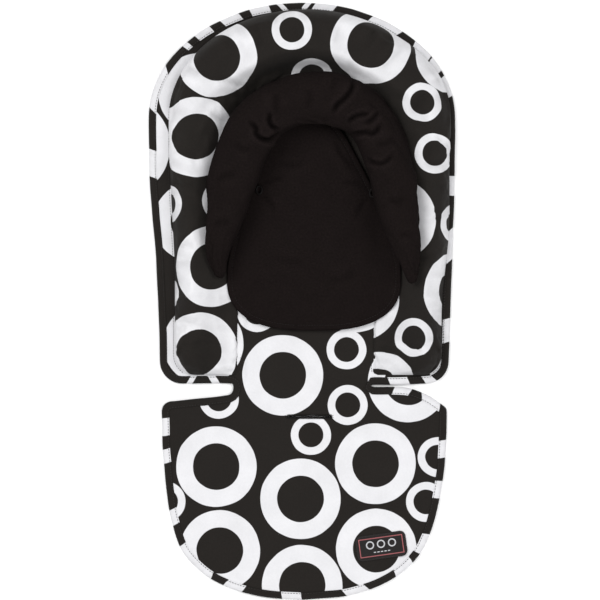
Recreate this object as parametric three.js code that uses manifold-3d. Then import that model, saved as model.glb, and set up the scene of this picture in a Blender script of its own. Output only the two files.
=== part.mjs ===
// Infant seat liner, lying flat and face up: a bound, padded back panel with a horseshoe
// bolster, a bound seat panel that folds up at the waist, and a head support made of a pad
// and a horseshoe pillow. Millimetres, +X to the right, +Y to the head end, +Z up.
// The origin is on the ground, under the middle of the liner's length and width.
import * as THREE from "three";
import { mergeVertices } from "three/addons/utils/BufferGeometryUtils.js";
import Module from "manifold-3d";

const wasm = await Module();
wasm.setup();

// ---- driving dimensions ----
const gap = 0.3; // clearance between pieces that touch
const cloth = 0.8; // thickness of one layer of cloth
const tape = { wide: 9.5 }; // edge binding
const panel = { wadding: 7, corner: 28 }; // wadding thickness, and the back panel's lower corner radius
const liner = {
  headY: 379, // top of the back panel
  shoulderY: 232, // where the straight sides meet the rounded head end
  halfWide: 194.5, // widest half width of the back panel
  hipHalfWide: 186, // half width of the back panel at its lower corners
  waistHalf: 87, // half width of the waist between the two side notches
  notchY: -104, // lower edge of the back panel
  foldY: -108, // line on which the seat panel folds
  footY: -379, // foot end of the seat panel
  seatHalfWide: 184,
};
const layer = {
  under: 0,
  wadding: cloth + gap,
  face: cloth + gap + panel.wadding + gap,
};
const topOfPanel = layer.face + cloth;

const bolster = {
  middleX: 5, // the horseshoe sits a little to the right of the panel's middle
  outerHalf: 172,
  innerHalf: 85,
  endY: -93, // lower ends of the two arms
  innerTopY: 200, // centre of the inner arc
  outerArcHigh: 136, // height of the outer arc above the shoulder line
  loft: 30,
  headLoft: 8, // extra loft over the head end
  innerSlope: 70, // distance over which the arms rise from the inner edge
  headSlope: 34, // the same over the head end
  outerRound: 26,
  endRound: 24,
  slack: 0.6, // clearance between the filling and its cover
  rows: 42,
  columns: 8,
};

const headPad = {
  footY: -35.5,
  roundY: 30, // the two lower corners are round up to here
  taperY: 40,
  headY: 243,
  capY: 196, // the head end is round from here up
  middleX: 15,
  middleTopX: -2,
  halfWide: 109,
  halfWideTop: 40,
  wadding: 6,
  rests: 2.6, // height of the pad's underside above the liner
  edging: 2.2, // radius of the rolled edging
};
const padThick = 2 * cloth + 2 * gap + headPad.wadding;

// Centre line of the horseshoe pillow from the left tip round the head to the right tip,
// as x, y and half width.
const pillowLine = [
  [-104, 30, 6],
  [-108, 62, 13],
  [-97, 103, 23],
  [-86, 154, 31],
  [-62, 218, 33],
  [-20, 252, 34],
  [35, 262, 33],
  [85, 232, 33],
  [112, 178, 32],
  [125, 112, 27],
  [136, 62, 16],
  [141, 22, 6],
];
const pillow = { flatness: 0.66, clear: 0.8, slack: 2.8, steps: 24, around: 12, tieY: 142 };

const slot = {
  wide: 6,
  stitch: 2.4, // width of the stitched edge
  crotch: { x: 10, y: -146, long: 58 },
  shoulder: { x: 48, middleX: 3, y: 100, long: 46 },
};
const fastener = { x: 0, wide: 50, loopY: [128, 218], hookY: [166, 214], thick: 0.8 };
const label = { x: 100.5, y: -310, long: 66, high: 34, corner: 6, turn: 0.14, thick: 0.9 };

// ---- tools ----
const { clamp, lerp, smoothstep } = THREE.MathUtils;

function extruded(shape, bottom, top) {
  const made = new THREE.ExtrudeGeometry(shape, {
    depth: top - bottom,
    bevelEnabled: false,
    curveSegments: 4,
  });
  return made.translate(0, 0, bottom);
}

function solidOf(geometry) {
  const bare = geometry.clone();
  bare.deleteAttribute("normal");
  bare.deleteAttribute("uv");
  const merged = mergeVertices(bare, 1e-3);
  return new wasm.Manifold(
    new wasm.Mesh({
      numProp: 3,
      vertProperties: merged.attributes.position.array,
      triVerts: new Uint32Array(merged.index.array),
    }),
  );
}

function geometryOf(solid) {
  const mesh = solid.getMesh();
  const made = new THREE.BufferGeometry();
  made.setAttribute("position", new THREE.BufferAttribute(mesh.vertProperties, 3));
  made.setIndex(new THREE.BufferAttribute(mesh.triVerts, 1));
  return made;
}

// Moves every vertex of a stock shape to the place that a function gives.
function shaped(geometry, place) {
  const at = geometry.attributes.position;
  for (let i = 0; i < at.count; i++) {
    at.setXYZ(i, ...place(at.getX(i), at.getY(i), at.getZ(i)));
  }
  return geometry;
}

// A slab cut into along x across cells, mapped by place(u, v, w), each from 0 to 1. Its underside
// is split into triangles the same way as its top, so a thin slab keeps its thickness.
function quilted(along, across, place) {
  const box = new THREE.BoxGeometry(1, 1, 1, along, across, 1);
  const { start, count } = box.groups[5];
  for (let i = start; i < start + count; i += 6) {
    const [a, b, d, , c] = box.index.array.subarray(i, i + 5);
    box.index.array.set([a, b, c, a, c, d], i);
  }
  return shaped(box, (x, y, z) => place(x + 0.5, y + 0.5, z + 0.5));
}

// Moves an open line of points to its left by a distance.
function inset(points, distance) {
  return points.map((p, i) => {
    const before = points[Math.max(i - 1, 0)];
    const after = points[Math.min(i + 1, points.length - 1)];
    const along = new THREE.Vector2().subVectors(after, before).normalize();
    return new THREE.Vector2(p.x - along.y * distance, p.y + along.x * distance);
  });
}

function slotHole(x, y, long, wide) {
  const hole = new THREE.Path();
  const straight = long / 2 - wide / 2;
  hole.absarc(x + straight, y, wide / 2, -Math.PI / 2, Math.PI / 2, false);
  hole.absarc(x - straight, y, wide / 2, Math.PI / 2, (3 * Math.PI) / 2, false);
  hole.closePath();
  return hole;
}

// ---- outlines of the two panels ----
// Both run with the panel on their left, from one end of the waist round to the other.
function backEdge() {
  const { waistHalf, notchY, foldY, hipHalfWide, halfWide, shoulderY, headY } = liner;
  const crook = 2.5; // radius at the root of the notch
  const half = new THREE.Path();
  half.moveTo(waistHalf, foldY + gap);
  half.lineTo(waistHalf, notchY - crook);
  half.absarc(waistHalf + crook, notchY - crook, crook, Math.PI, Math.PI / 2, true);
  half.absarc(hipHalfWide - panel.corner, notchY + panel.corner, panel.corner, -Math.PI / 2, 0, false);
  half.bezierCurveTo(hipHalfWide + 3, 20, halfWide, 120, halfWide, shoulderY);
  half.absellipse(0, shoulderY, halfWide, headY - shoulderY, 0, Math.PI / 2, false);
  return withMirror(half.getPoints(5));
}

function seatEdge() {
  const { waistHalf, foldY, footY, seatHalfWide } = liner;
  const half = new THREE.Path();
  half.moveTo(waistHalf, foldY - gap);
  half.lineTo(waistHalf, foldY - 3);
  half.absarc(waistHalf + 8, foldY - 3, 8, Math.PI, 1.53 * Math.PI, false);
  half.absarc(seatHalfWide - 13.5, -140, 13.5, 0.53 * Math.PI, 0, true);
  const side = [[183, -180], [179, -225], [169, -275], [150, -320], [112, -354], [60, -373], [0, footY]];
  half.splineThru(side.map(([x, y]) => new THREE.Vector2(x, y)));
  return withMirror(half.getPoints(3)).reverse();
}

// Joins the right half of an outline to its mirror image.
function withMirror(half) {
  const other = half.map((p) => new THREE.Vector2(-p.x, p.y)).reverse();
  return half.concat(other.slice(1));
}

function panelShape(edge, distance, holes) {
  const shape = new THREE.Shape(inset(edge, distance));
  shape.holes = holes;
  return shape;
}

// ---- panels ----
function panelLayer(edge, distance, bottom, thickness, slots) {
  const around = 2 * (slot.stitch + gap);
  const holes = slots.map((s) => slotHole(s.x, s.y, s.long + around, slot.wide + around));
  return extruded(panelShape(edge, distance, holes), bottom, bottom + thickness);
}

// Tape folded round the edge of a panel: a C in section, open towards the panel.
function binding(edge) {
  const outer = new THREE.Shape([...edge, ...inset(edge, tape.wide).reverse()]);
  const inner = new THREE.Shape([
    ...inset(edge, cloth),
    ...inset(edge, tape.wide + 2).reverse(),
  ]);
  const whole = solidOf(extruded(outer, 0, topOfPanel));
  const channel = solidOf(extruded(inner, cloth, layer.face));
  return geometryOf(whole.subtract(channel));
}

// Thread wound round a slot, through all the layers.
function slotStitching(s) {
  const around = 2 * slot.stitch;
  const outer = slotHole(s.x, s.y, s.long + around, slot.wide + around);
  const rim = new THREE.Shape(outer.getPoints(4));
  rim.holes = [slotHole(s.x, s.y, s.long, slot.wide)];
  return extruded(rim, 0, topOfPanel + 0.4);
}

// ---- bolster ----
// Height of the bolster's cover above the panel at a point, 0 off the bolster.
function bolsterHeight(x, y) {
  const { middleX, outerHalf, innerHalf, innerTopY, outerArcHigh, endY } = bolster;
  const across = Math.abs(x - middleX);
  const fromInner = (y < innerTopY ? across : Math.hypot(across, y - innerTopY)) - innerHalf;
  const overShoulder = Math.max(y - liner.shoulderY, 0);
  const round = Math.hypot(across / outerHalf, overShoulder / outerArcHigh);
  const fromOuter = (1 - round) * lerp(outerHalf, outerArcHigh, clamp(overShoulder / outerArcHigh, 0, 1));
  const fromEnd = y - endY;
  if (fromInner <= 0 || fromOuter <= 0 || fromEnd <= 0) return 0;
  const head = smoothstep(y, 225, 300);
  const rise = smoothstep(fromInner, 0, lerp(bolster.innerSlope, bolster.headSlope, head));
  const fall = (d, reach) => Math.sqrt(1 - (1 - Math.min(d / reach, 1)) ** 2);
  const loft = bolster.loft + bolster.headLoft * head;
  return loft * rise * fall(fromOuter, bolster.outerRound) * fall(fromEnd, bolster.endRound);
}

// Point of the horseshoe: along from the left end to the right end, across from inner to outer edge.
function bolsterPoint(along, across) {
  const { middleX, outerHalf, innerHalf, innerTopY, outerArcHigh, endY } = bolster;
  const arm = 0.33; // share of the length taken by each straight arm
  const edgePoint = (half, straightTop, high) => {
    if (along < arm) return [-half, lerp(endY, straightTop, along / arm)];
    if (along > 1 - arm) return [half, lerp(endY, straightTop, (1 - along) / arm)];
    const turn = Math.PI * (1 - (along - arm) / (1 - 2 * arm));
    return [half * Math.cos(turn), straightTop + high * Math.sin(turn)];
  };
  const [xi, yi] = edgePoint(innerHalf, innerTopY, innerHalf);
  const [xo, yo] = edgePoint(outerHalf, liner.shoulderY, outerArcHigh);
  return [middleX + lerp(xi, xo, across), lerp(yi, yo, across)];
}

// Spaces points closer together towards both edges, where the section curves most.
function closerAtEdges(t, share = 1) {
  return lerp(t, 0.5 - 0.5 * Math.cos(Math.PI * t), share);
}

// A slab of the bolster between whole grid lines, from one height above the panel to another.
function bolsterSlab(trim, lower, upper) {
  const { rows, columns } = bolster;
  const count = [rows - 2 * trim.ends, columns - trim.inner - trim.outer];
  return quilted(...count, (u, v, w) => {
    const row = (trim.ends + u * count[0]) / rows;
    const column = (trim.inner + v * count[1]) / columns;
    const [x, y] = bolsterPoint(closerAtEdges(row, 0.7), closerAtEdges(column));
    return [x, y, topOfPanel + gap + (w < 0.5 ? lower(x, y) : upper(x, y))];
  });
}

function bolsterCover() {
  const inside = (x, y) => bolsterHeight(x, y);
  const outside = (x, y) => bolsterHeight(x, y) + cloth;
  return bolsterSlab({ ends: 0, inner: 0, outer: 0 }, inside, outside);
}

function bolsterFill() {
  const top = (x, y) => Math.max(bolsterHeight(x, y) - bolster.slack, 0.3);
  return bolsterSlab({ ends: 1, inner: 2, outer: 1 }, () => 0, top);
}

// ---- head support ----
// Underside of the head pad, which drapes over the inner slopes of the bolster.
function padRest(x, y) {
  return topOfPanel + headPad.rests + bolsterHeight(x, y);
}

// Half width of the head pad before its two ends are rounded.
function padTaper(y) {
  const { taperY, headY, halfWide, halfWideTop } = headPad;
  return lerp(halfWide, halfWideTop, clamp((y - taperY) / (headY - taperY), 0, 1) ** 1.35);
}

function padHalfWidth(y) {
  const { roundY, footY, capY, headY } = headPad;
  const foot = clamp((roundY - y) / (roundY - footY + 0.5), 0, 1);
  const cap = clamp((y - capY) / (headY - capY + 0.5), 0, 1);
  return padTaper(y) * ((1 - foot ** 2.6) * (1 - cap ** 2.6)) ** (1 / 2.6);
}

function padMiddle(y) {
  return lerp(headPad.middleX, headPad.middleTopX, smoothstep(y, 60, headPad.headY));
}

// Point of the head pad: side from -1 at its left edge to 1 at its right, up from foot to head.
function padPoint(side, up) {
  const y = lerp(headPad.footY, headPad.headY, closerAtEdges(up));
  return [padMiddle(y) + side * padHalfWidth(y), y];
}

function padLayer(above, thickness) {
  return quilted(10, 12, (u, v, w) => {
    const [x, y] = padPoint(2 * u - 1, v);
    return [x, y, padRest(x, y) + above + w * thickness];
  });
}

// Rolled edging round the pad, its two ends meeting at the middle of the head end.
function padEdging() {
  const sides = Array.from({ length: 23 }, (_, i) => (i + 0.5) / 23);
  const left = sides.map((up) => new THREE.Vector2(...padPoint(-1, up)));
  const right = sides.map((up) => new THREE.Vector2(...padPoint(1, up)));
  const headX = headPad.middleTopX;
  const line = [
    new THREE.Vector2(headX - 1, headPad.headY),
    ...left.reverse(),
    ...right,
    new THREE.Vector2(headX + 1, headPad.headY),
  ];
  const path = inset(line, -headPad.edging - 3 * gap).map(
    ({ x, y }) => new THREE.Vector3(x, y, padRest(x, y) + padThick / 2),
  );
  const section = new THREE.Shape();
  section.absarc(0, 0, headPad.edging, 0, 2 * Math.PI, false);
  return new THREE.ExtrudeGeometry(section, {
    steps: 48,
    extrudePath: new THREE.CatmullRomCurve3(path),
    curveSegments: 3,
  });
}

// Surface that the pillow lies on: the head pad, or the bolster where it reaches past the pad.
function pillowRest(x, y) {
  const beyond = Math.max(Math.abs(x - padMiddle(y)) - padTaper(y), y - headPad.headY);
  const onPad = 1 - 0.75 * smoothstep(beyond, 14, 44);
  return padRest(x, y) + onPad * padThick;
}

const pillowCurve = new THREE.CatmullRomCurve3(
  pillowLine.map(([x, y, half]) => new THREE.Vector3(x, y, half)),
);

// Point of the pillow's section at a share of its length. Turn 0 is its outer edge, a quarter
// turn is its top, and deep is how far the point lies under the outside of the cover.
function pillowPoint(along, turn, deep) {
  const at = pillowCurve.getPoint(along);
  const way = pillowCurve.getTangent(along).setZ(0).normalize();
  const half = (at.z - deep) * Math.cos(turn);
  const x = at.x - way.y * half;
  const y = at.y + way.x * half;
  const high = at.z * pillow.flatness;
  const z = pillowRest(at.x, at.y) + pillow.clear + high + (high - deep) * Math.sin(turn);
  return [x, y, Math.max(z, pillowRest(x, y) + pillow.clear + deep)];
}

// Half of the pillow's cover: the top, or the underside, which is the top's mirror image.
function pillowCover(isTop) {
  const sign = isTop ? 1 : -1;
  return quilted(pillow.steps, pillow.around / 2, (u, v, w) => {
    const deep = lerp(0, cloth, isTop ? w : 1 - w);
    const [x, y, z] = pillowPoint(u, sign * Math.PI * v, deep);
    return [x, y, z + sign * gap * 0.5];
  });
}

function pillowFill() {
  const { steps, around, slack } = pillow;
  const rod = new THREE.CylinderGeometry(1, 1, 1, around, steps - 2);
  return shaped(rod, (x, y, z) => {
    const reach = Math.hypot(x, z);
    const along = lerp(1 / steps, 1 - 1 / steps, 0.5 - y);
    const [px, py, pz] = pillowPoint(along, Math.atan2(z, x), slack);
    if (reach > 0.5) return [px, py, pz];
    const above = pillowPoint(along, Math.PI / 2, slack);
    const below = pillowPoint(along, -Math.PI / 2, slack);
    return above.map((value, i) => (value + below[i]) / 2);
  });
}

// ---- small pieces ----
function fastenerStrip(ends, bottom) {
  const middle = (ends[0] + ends[1]) / 2;
  const strip = new THREE.BoxGeometry(fastener.wide, ends[1] - ends[0], fastener.thick);
  return strip.translate(fastener.x, middle, bottom + fastener.thick / 2);
}

// Loop of cord sewn to the pad, that ties the pillow's inner edge down.
function tieLoop(x, y) {
  const ring = new THREE.TorusGeometry(4, 1, 6, 12);
  ring.rotateX(Math.PI / 2);
  return ring.translate(x, y, padRest(x, y) + padThick + gap + 5);
}

function labelPatch() {
  const { long, high, corner } = label;
  const patch = new THREE.Shape();
  patch.absarc(long / 2 - corner, high / 2 - corner, corner, 0, Math.PI / 2, false);
  patch.absarc(corner - long / 2, high / 2 - corner, corner, Math.PI / 2, Math.PI, false);
  patch.absarc(corner - long / 2, corner - high / 2, corner, Math.PI, 1.5 * Math.PI, false);
  patch.absarc(long / 2 - corner, corner - high / 2, corner, 1.5 * Math.PI, 2 * Math.PI, false);
  const made = extruded(patch, 0, label.thick);
  return made.rotateZ(label.turn).translate(label.x, label.y, topOfPanel + gap);
}

// ---- materials ----
function finish(colour, roughness) {
  return new THREE.MeshStandardMaterial({ color: colour, roughness, metalness: 0 });
}
const printedCotton = finish(0x2a2521, 0.85);
const plainCotton = finish(0x26211d, 0.9);
const brushedCotton = finish(0x1c1816, 0.95);
const wadding = finish(0xe9e7e2, 1);
const thread = finish(0x1b1917, 0.7);
const hookTape = finish(0x161515, 0.8);
const wovenLabel = finish(0x1a1614, 0.75);

// ---- assembly ----
const seatLiner = new THREE.Group();

function add(name, geometry, material) {
  const mesh = new THREE.Mesh(geometry, material);
  mesh.name = name;
  seatLiner.add(mesh);
}

function addPanel(name, edge, slots) {
  const cover = tape.wide + gap;
  add(`${name}_underside`, panelLayer(edge, cover, layer.under, cloth, slots), plainCotton);
  add(`${name}_wadding`, panelLayer(edge, cloth + gap, layer.wadding, panel.wadding, slots), wadding);
  add(`${name}_face`, panelLayer(edge, cover, layer.face, cloth, slots), printedCotton);
  add(`${name}_binding`, binding(edge), printedCotton);
}

const shoulderSlots = [-1, 1].map((side) => ({
  x: slot.shoulder.middleX + side * slot.shoulder.x,
  y: slot.shoulder.y,
  long: slot.shoulder.long,
}));
addPanel("back", backEdge(), shoulderSlots);
add("shoulder_slot_stitching_left", slotStitching(shoulderSlots[0]), thread);
add("shoulder_slot_stitching_right", slotStitching(shoulderSlots[1]), thread);
add("bolster_cover", bolsterCover(), printedCotton);
add("bolster_fill", bolsterFill(), wadding);
add("fastener_loop_strip", fastenerStrip(fastener.loopY, topOfPanel + gap), hookTape);

addPanel("seat", seatEdge(), [slot.crotch]);
add("crotch_slot_stitching", slotStitching(slot.crotch), thread);
add("woven_label", labelPatch(), wovenLabel);

add("head_pad_underside", padLayer(0, cloth), plainCotton);
add("head_pad_wadding", padLayer(cloth + gap, headPad.wadding), wadding);
add("head_pad_face", padLayer(padThick - cloth, cloth), brushedCotton);
add("head_pad_edging", padEdging(), brushedCotton);
add("fastener_hook_patch", fastenerStrip(fastener.hookY, topOfPanel + 2 * gap + fastener.thick), hookTape);

add("pillow_top_cover", pillowCover(true), brushedCotton);
add("pillow_underside_cover", pillowCover(false), brushedCotton);
add("pillow_fill", pillowFill(), wadding);
add("tie_loop_left", tieLoop(-52, pillow.tieY), thread);
add("tie_loop_right", tieLoop(88, pillow.tieY), thread);

export default seatLiner;
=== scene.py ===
from math import atan2, cos, exp, hypot, pi, radians, sin, sqrt

import bmesh
import bpy
import numpy as np
from mathutils import Matrix, Vector, noise


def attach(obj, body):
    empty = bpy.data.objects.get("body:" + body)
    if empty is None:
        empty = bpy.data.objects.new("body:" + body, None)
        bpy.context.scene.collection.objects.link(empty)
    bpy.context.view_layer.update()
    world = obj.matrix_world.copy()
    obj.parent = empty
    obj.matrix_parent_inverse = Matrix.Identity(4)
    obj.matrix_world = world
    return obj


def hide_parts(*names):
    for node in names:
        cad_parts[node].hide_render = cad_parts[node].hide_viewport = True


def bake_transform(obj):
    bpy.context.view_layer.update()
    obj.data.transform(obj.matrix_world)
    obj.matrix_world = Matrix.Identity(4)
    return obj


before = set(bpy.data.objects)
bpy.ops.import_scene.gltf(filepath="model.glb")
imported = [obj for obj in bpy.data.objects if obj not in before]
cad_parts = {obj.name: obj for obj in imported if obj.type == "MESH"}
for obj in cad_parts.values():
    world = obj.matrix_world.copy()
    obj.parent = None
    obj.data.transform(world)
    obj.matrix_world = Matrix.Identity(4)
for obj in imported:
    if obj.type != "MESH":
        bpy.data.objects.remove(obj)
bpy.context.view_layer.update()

mm = 0.001  # the sizes below are in millimetres


studio = {"height": 4.0, "across": 0.762, "aim": (-2.5, 1.9), "floor": (0.93, 0.93, 0.93), "sky": 0.5}


# shader nodes, written as sums

class Wire:
    def __init__(self, finish, socket):
        self.finish, self.socket = finish, socket

    def maths(self, operation, *values):
        return self.finish.node("ShaderNodeMath", {"operation": operation}, values)

    def __add__(self, other):
        return self.maths("ADD", self, other)

    def __sub__(self, other):
        return self.maths("SUBTRACT", self, other)

    def __rsub__(self, other):
        return self.maths("SUBTRACT", other, self)

    def __mul__(self, other):
        return self.maths("MULTIPLY", self, other)

    def __abs__(self):
        return self.maths("ABSOLUTE", self)

    __radd__ = __add__
    __rmul__ = __mul__

    def sine(self):
        return self.maths("SINE", self)

    def over(self, other):
        return self.maths("MAXIMUM", self, other)

    def under(self, other):
        return self.maths("MINIMUM", self, other)

    def step(self, low, high):  # 0 below low, 1 above high, smooth between
        span = {"Value": self, "From Min": low, "From Max": high}
        return self.finish.node("ShaderNodeMapRange", {"interpolation_type": "SMOOTHSTEP"}, span)


class Finish:
    def __init__(self, name, surface):
        self.material = bpy.data.materials.new(name)
        self.material.use_nodes = True
        self.tree = self.material.node_tree
        self.surface = self.tree.nodes["Principled BSDF"]
        for socket, value in surface.items():
            self.surface.inputs[socket].default_value = (*value, 1) if isinstance(value, tuple) else value

    def node(self, kind, settings, inputs, output=0):
        made = self.tree.nodes.new(kind)
        for setting, value in settings.items():
            setattr(made, setting, value)
        for socket, value in inputs.items() if isinstance(inputs, dict) else enumerate(inputs):
            if isinstance(value, Wire):
                self.tree.links.new(value.socket, made.inputs[socket])
            else:
                made.inputs[socket].default_value = value
        return Wire(self, made.outputs[output])

    def feed(self, socket, wire):
        self.tree.links.new(wire.socket, self.surface.inputs[socket])

    def vectors(self, operation, inputs, output=0):
        return self.node("ShaderNodeVectorMath", {"operation": operation}, inputs, output)

    def blend(self, share, first, second):  # from the first colour to the second
        first, second = ((*c, 1) if isinstance(c, tuple) else c for c in (first, second))
        return self.node("ShaderNodeMix", {"data_type": "RGBA"}, {0: share, 6: first, 7: second}, 2)

    def dim(self, colour, share):
        return self.vectors("SCALE", {0: colour, "Scale": share})

    def fog(self, place, size, detail=3.0):  # soft noise from 0 to 1, its patches about size across
        return self.node("ShaderNodeTexNoise", {}, {"Vector": place, "Scale": 1 / size, "Detail": detail})

    def paintedCreaseShading(self):  # painted crease shading: painted shade, 1 at the bottom of a crease, and painted highlight below 0 where the cloth is raised
        return self.node("ShaderNodeAttribute", {"attribute_name": "paintedCreaseShading"}, {}, "Fac")

    def bump(self, height, strength, distance):
        inputs = {"Height": height, "Strength": strength, "Distance": distance * mm}
        self.feed("Normal", self.node("ShaderNodeBump", {}, inputs))

    def millimetres(self, layer=None, flat=True):  # the spot on the cloth, from its print layer or the object
        if layer:
            place = self.node("ShaderNodeUVMap", {"uv_map": layer}, {})
        else:
            place = self.node("ShaderNodeTexCoord", {}, {}, "Object")
        return self.vectors("MULTIPLY", (place, (1000, 1000, 0 if flat else 1000)))

    def axes(self, place):
        apart = self.node("ShaderNodeSeparateXYZ", {}, (place,)).socket.node
        return [Wire(self, socket) for socket in apart.outputs]

    def insideRings(self, place, rings):  # how far a spot lies inside the nearest of rings x, y, outer, inner
        inside = None
        for x, y, outer, inner in rings:
            reach = self.vectors("DISTANCE", (place, (x, y, 0)), "Value")
            depth = (outer - inner) / 2 - abs(reach - (outer + inner) / 2)
            inside = depth if inside is None else inside.over(depth)
        return inside

    def weave(self, place, pitch):  # threads passing over and under, 0 to 1
        x, y, _ = self.axes(place)
        warp, weft = (x * (pi / pitch)).sine(), (y * (pi / pitch)).sine()
        turn = (warp * weft).step(-0.12, 0.12)
        return abs(warp) * turn + abs(weft) * (1 - turn)

    def knit(self, place, pitch):  # fine ribs of a jersey, 0 to 1
        x, y, _ = self.axes(place)
        lean = abs((y * (pi / pitch)).sine()) * (pitch * 0.5)
        return abs(((x + lean) * (pi / pitch)).sine())


# the cloths

def tinted(colour, share):
    return tuple(c * share for c in colour)


cottonPrint = {
    "surface": {"Roughness": 0.86, "Specular IOR Level": 0.14, "Sheen Weight": 0.03},
    "black": (0.0118, 0.0098, 0.0084),
    "white": (0.652, 0.650, 0.668),
    "big": (51.0, 29.6),  # outer and inner radius of a ring
    "small": (25.2, 15.8),
    "thread": 0.62,
    "wander": 1.8,  # how unevenly the print's edges run
}


def printedCotton(name, printed, layer=None):
    finish = Finish(name, cottonPrint["surface"])
    place = finish.millimetres(layer)
    drift = finish.node("ShaderNodeTexNoise", {}, {"Vector": place, "Scale": 0.035, "Detail": 2.0}, 1)
    drift = finish.vectors("SUBTRACT", (drift, (0.5, 0.5, 0.5)))
    spot = finish.vectors("MULTIPLY_ADD", (drift, (cottonPrint["wander"], cottonPrint["wander"], 0), place))
    rings = [(*c[:2], *(c[2:] or cottonPrint[size])) for size in ("big", "small") for c in printed[size]]
    inside = finish.insideRings(spot, rings)
    weave = finish.weave(place, cottonPrint["thread"])
    white = (inside + weave * 0.16).step(-0.25, 0.4)
    shade = (weave * 0.14 + 0.86) * (finish.fog(place, 34.0) * 0.22 + 0.89) * (finish.fog(place, 3.0) * 0.1 + 0.95)
    black = finish.blend(finish.fog(place, 2.4), *(tinted(cottonPrint["black"], t) for t in (0.74, 1.3)))
    # painted shade in the valleys of folds and painted highlight on raised folds, from the painted crease shading
    shade = shade * (1 - finish.paintedCreaseShading() * 0.17)
    finish.feed("Base Color", finish.dim(finish.blend(white, black, cottonPrint["white"]), shade))
    finish.bump(weave * 0.5 + finish.fog(place, 1.5) * 0.5, 0.3, 0.2)
    return finish.material


def stripedTape(name, blocks):  # the print cut on the slant, so that it shows as blocks along the tape
    finish = Finish(name, cottonPrint["surface"])
    place = finish.millimetres("print")
    along, across, _ = finish.axes(place)
    inside = None
    for middle, half, slant in blocks:
        depth = half - abs(along + across * slant - middle)
        inside = depth if inside is None else inside.over(depth)
    weave = finish.weave(place, cottonPrint["thread"])
    white = (inside + finish.fog(place, 6.0) * 1.2 - 0.6 + weave * 0.16).step(-0.25, 0.4)
    shade = (weave * 0.14 + 0.86) * (finish.fog(place, 9.0) * 0.24 + 0.86)
    colour = finish.blend(white, cottonPrint["black"], cottonPrint["white"])
    finish.feed("Base Color", finish.dim(colour, shade))
    finish.bump(weave * 0.5 + finish.fog(place, 1.5) * 0.5, 0.3, 0.2)
    return finish.material


def softJersey(name, colour):
    finish = Finish(name, {"Roughness": 0.95, "Specular IOR Level": 0.03})
    place = finish.millimetres("print")
    knit = finish.knit(place, 0.8)
    fluff = finish.fog(place, 1.1, 5.0)
    shade = (knit * 0.22 + 0.8) * (finish.fog(place, 22.0) * 0.3 + 0.84) * (fluff * 0.9 + 0.55)
    # painted shade in creases and painted highlight on the raised cloth beside them, from the painted crease shading
    shade = shade * (finish.fog(place, 2.6) * 0.9 + 0.55) * (1 - finish.paintedCreaseShading() * 0.62)
    finish.feed("Base Color", finish.dim(finish.blend(fluff, colour, tinted(colour, 1.25)), shade))
    finish.bump(knit * 0.45 + fluff * 0.55, 0.4, 0.25)
    return finish.material


def plainCloth(name, colour):
    finish = Finish(name, {"Roughness": 0.88, "Specular IOR Level": 0.14})
    place = finish.millimetres(flat=False)
    weave = finish.weave(place, cottonPrint["thread"])
    shade = (weave * 0.2 + 0.82) * (finish.fog(place, 25.0) * 0.2 + 0.9)
    finish.feed("Base Color", finish.dim(colour, shade))
    finish.bump(weave * 0.6 + finish.fog(place, 1.2) * 0.4, 0.35, 0.2)
    return finish.material


def twistedThread(name, colour, pitch=0.5, gloss=0.3):
    finish = Finish(name, {"Roughness": 0.6, "Specular IOR Level": gloss})
    place = finish.millimetres(flat=False)
    x, y, z = finish.axes(place)
    twist = abs(((x + y + z) * (pi / pitch)).sine())
    colour = finish.blend(twist, colour, tinted(colour, 1.6))
    finish.feed("Base Color", finish.dim(colour, twist * 0.3 + 0.8))
    finish.bump(twist, 0.5, 0.15)
    return finish.material


def fastenerTape(name, colour, size):  # a field of tiny loops or hooks
    finish = Finish(name, {"Roughness": 0.7, "Specular IOR Level": 0.25})
    place = finish.millimetres(flat=False)
    tufts = finish.node("ShaderNodeTexVoronoi", {}, {"Vector": place, "Scale": 1 / size}).step(0.1, 0.6)
    finish.feed("Base Color", finish.blend(tufts, tinted(colour, 2.2), colour))
    finish.bump(1 - tufts, 0.8, 0.5)
    return finish.material


# shapes

def ease(value, low=0.0, high=1.0):
    t = min(max((value - low) / (high - low), 0.0), 1.0)
    return t * t * (3 - 2 * t)


def between(a, b, t):
    return a + (b - a) * t


def ripple(x, y, size, seed=0.0):  # soft unevenness from -1 to 1
    return noise.noise(Vector((x / size + seed, y / size - seed, seed * 0.37)))


def arc(x, y, radius, start, end, steps, high=None):
    turns = [radians(between(start, end, i / steps)) for i in range(steps + 1)]
    return [(x + radius * cos(t), y + (high or radius) * sin(t)) for t in turns]


def curveThrough(points, steps):  # smooth line through points, steps to each gap
    p = np.array([points[0], *points, points[-1]], float)
    p[0], p[-1] = 2 * p[1] - p[2], 2 * p[-2] - p[-3]
    t = (np.arange(steps) / steps)[:, None]
    pieces = [
        0.5 * (2 * b + (c - a) * t + (2 * a - 5 * b + 4 * c - d) * t**2 + (3 * b - a - 3 * c + d) * t**3)
        for a, b, c, d in zip(p, p[1:], p[2:], p[3:])
    ]
    return np.vstack([*pieces, p[-2:-1]])


def lengthAlong(line):  # from the start of a line to each of its points
    return np.concatenate([[0], np.cumsum(np.linalg.norm(np.diff(line, axis=0), axis=1))])


def evenly(points, gap, closed=False):  # the same line with its points a set gap apart
    p = np.array([*points, points[0]] if closed else points, float)
    length = lengthAlong(p)
    count = max(int(round(length[-1] / gap)), 2)
    wanted = np.linspace(0, length[-1], count + 1)[: count if closed else None]
    return np.stack([np.interp(wanted, length, p[:, k]) for k in range(p.shape[1])], axis=1)


def normals(points, closed):  # to the left of the line's direction
    p = np.array(points, float)[:, :2]
    way = np.roll(p, -1, 0) - np.roll(p, 1, 0) if closed else np.gradient(p, axis=0)
    way /= np.linalg.norm(way, axis=1)[:, None]
    return np.stack([-way[:, 1], way[:, 0]], axis=1)


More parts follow.
